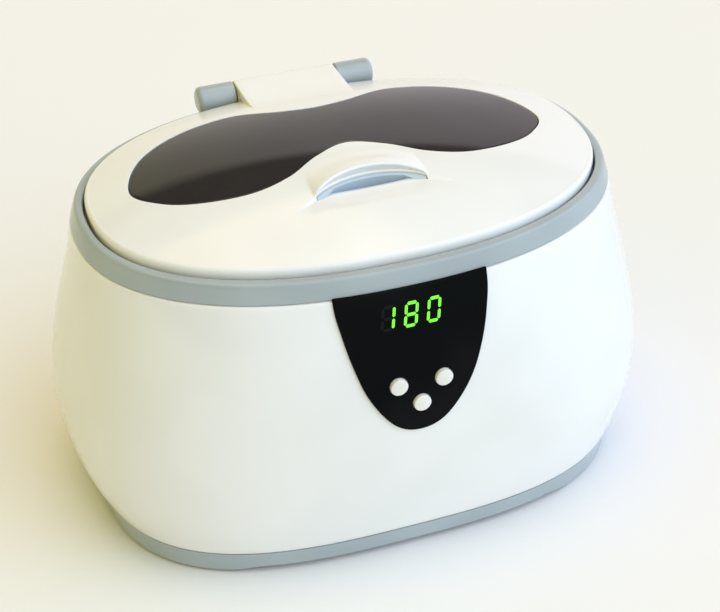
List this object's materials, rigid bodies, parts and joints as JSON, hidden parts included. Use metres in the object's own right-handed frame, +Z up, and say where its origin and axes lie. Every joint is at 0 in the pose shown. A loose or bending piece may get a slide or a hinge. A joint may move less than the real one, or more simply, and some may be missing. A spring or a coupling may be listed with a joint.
{
  "type": "ultrasonic cleaner",
  "caption": "Oval benchtop ultrasonic cleaning bath with a steel tank, a hinged domed lid with a smoked window, and a front panel with push buttons and a numeric display.",
  "frame": {"origin": "on the surface it stands on, under the middle of the housing", "axes": "+Z up, -Y towards the front panel, +X to the right seen from the front"},
  "size_m": [0.2092, 0.1482, 0.1282],
  "materials": {
    "white_shell": "glossy injection moulding",
    "grey_trim": "satin injection moulding",
    "smoked_window": "polished smoked acrylic",
    "panel_black": "polished black",
    "button_white": "semi-gloss",
    "black_moulding": "fine texture",
    "foot_rubber": "matt",
    "stainless": "pressed and brushed",
    "aluminium": "turned or extruded",
    "brass": "plain",
    "copper": "enamelled or bare copper",
    "ferrite": "sintered, dull",
    "piezo_ceramic": "ground ceramic with silvered faces",
    "circuit_board": "solder mask",
    "blue_plastic": "moulded",
    "yellow_plastic": "moulded",
    "clear_glass": "clear",
    "wire_insulation": "extruded"
  },
  "bodies": {
    "housing": {"body_shell": "white_shell", "top_bezel": "grey_trim", "base_plate": "grey_trim", "hinge_pin": "stainless", "tank": "stainless", "tank_seal": "foot_rubber", "control_panel": "panel_black", "rubber_foot_1": "foot_rubber", "rubber_foot_2": "foot_rubber", "rubber_foot_3": "foot_rubber", "rubber_foot_4": "foot_rubber", "base_screw_1": "stainless", "base_screw_2": "stainless", "base_screw_3": "stainless", "base_screw_4": "stainless", "transducer_front_mass": "aluminium", "piezo_ring_1": "piezo_ceramic", "piezo_ring_2": "piezo_ceramic", "electrode_1": "copper", "electrode_2": "copper", "transducer_back_mass": "stainless", "transducer_bolt": "stainless", "power_board": "circuit_board", "transformer_core": "ferrite", "transformer_winding": "copper", "choke": "copper", "film_capacitor": "yellow_plastic", "electrolytic_capacitor": "black_moulding", "relay": "blue_plastic", "fuse": "clear_glass", "heat_sink": "aluminium", "power_transistor": "black_moulding", "terminal_block": "black_moulding", "display_board": "circuit_board", "led_display": "black_moulding", "driver_chip": "black_moulding", "switch_on": "black_moulding", "switch_off": "black_moulding", "switch_set": "black_moulding", "mains_inlet": "black_moulding", "inlet_pin_1": "brass", "inlet_pin_2": "brass", "display_cable": "black_moulding", "transducer_lead_1": "wire_insulation", "transducer_lead_2": "wire_insulation", "mains_lead_1": "black_moulding", "mains_lead_2": "black_moulding"},
    "lid": {"lid_shell": "white_shell", "lid_window": "smoked_window", "window_retainer": "grey_trim", "lid_grip": "grey_trim", "retainer_screw_1": "stainless", "retainer_screw_2": "stainless", "retainer_screw_3": "stainless", "retainer_screw_4": "stainless"},
    "button_on": {"button_on": "button_white"},
    "button_off": {"button_off": "button_white"},
    "button_set": {"button_set": "button_white"}
  },
  "joints": [
    {"name": "lid_hinge", "type": "hinge", "parent": "housing", "child": "lid", "pos_m": [0, 0.063, 0.116], "axis": [-1, 0, 0], "range_deg": [0, 95]},
    {"name": "button_on_press", "type": "slide", "parent": "housing", "child": "button_on", "axis": [0, 1, 0], "range_m": [0, 0.0006], "stiffness_N_per_m": 500},
    {"name": "button_off_press", "type": "slide", "parent": "housing", "child": "button_off", "axis": [0, 1, 0], "range_m": [0, 0.0006], "stiffness_N_per_m": 500},
    {"name": "button_set_press", "type": "slide", "parent": "housing", "child": "button_set", "axis": [0, 1, 0], "range_m": [0, 0.0006], "stiffness_N_per_m": 500}
  ]
}
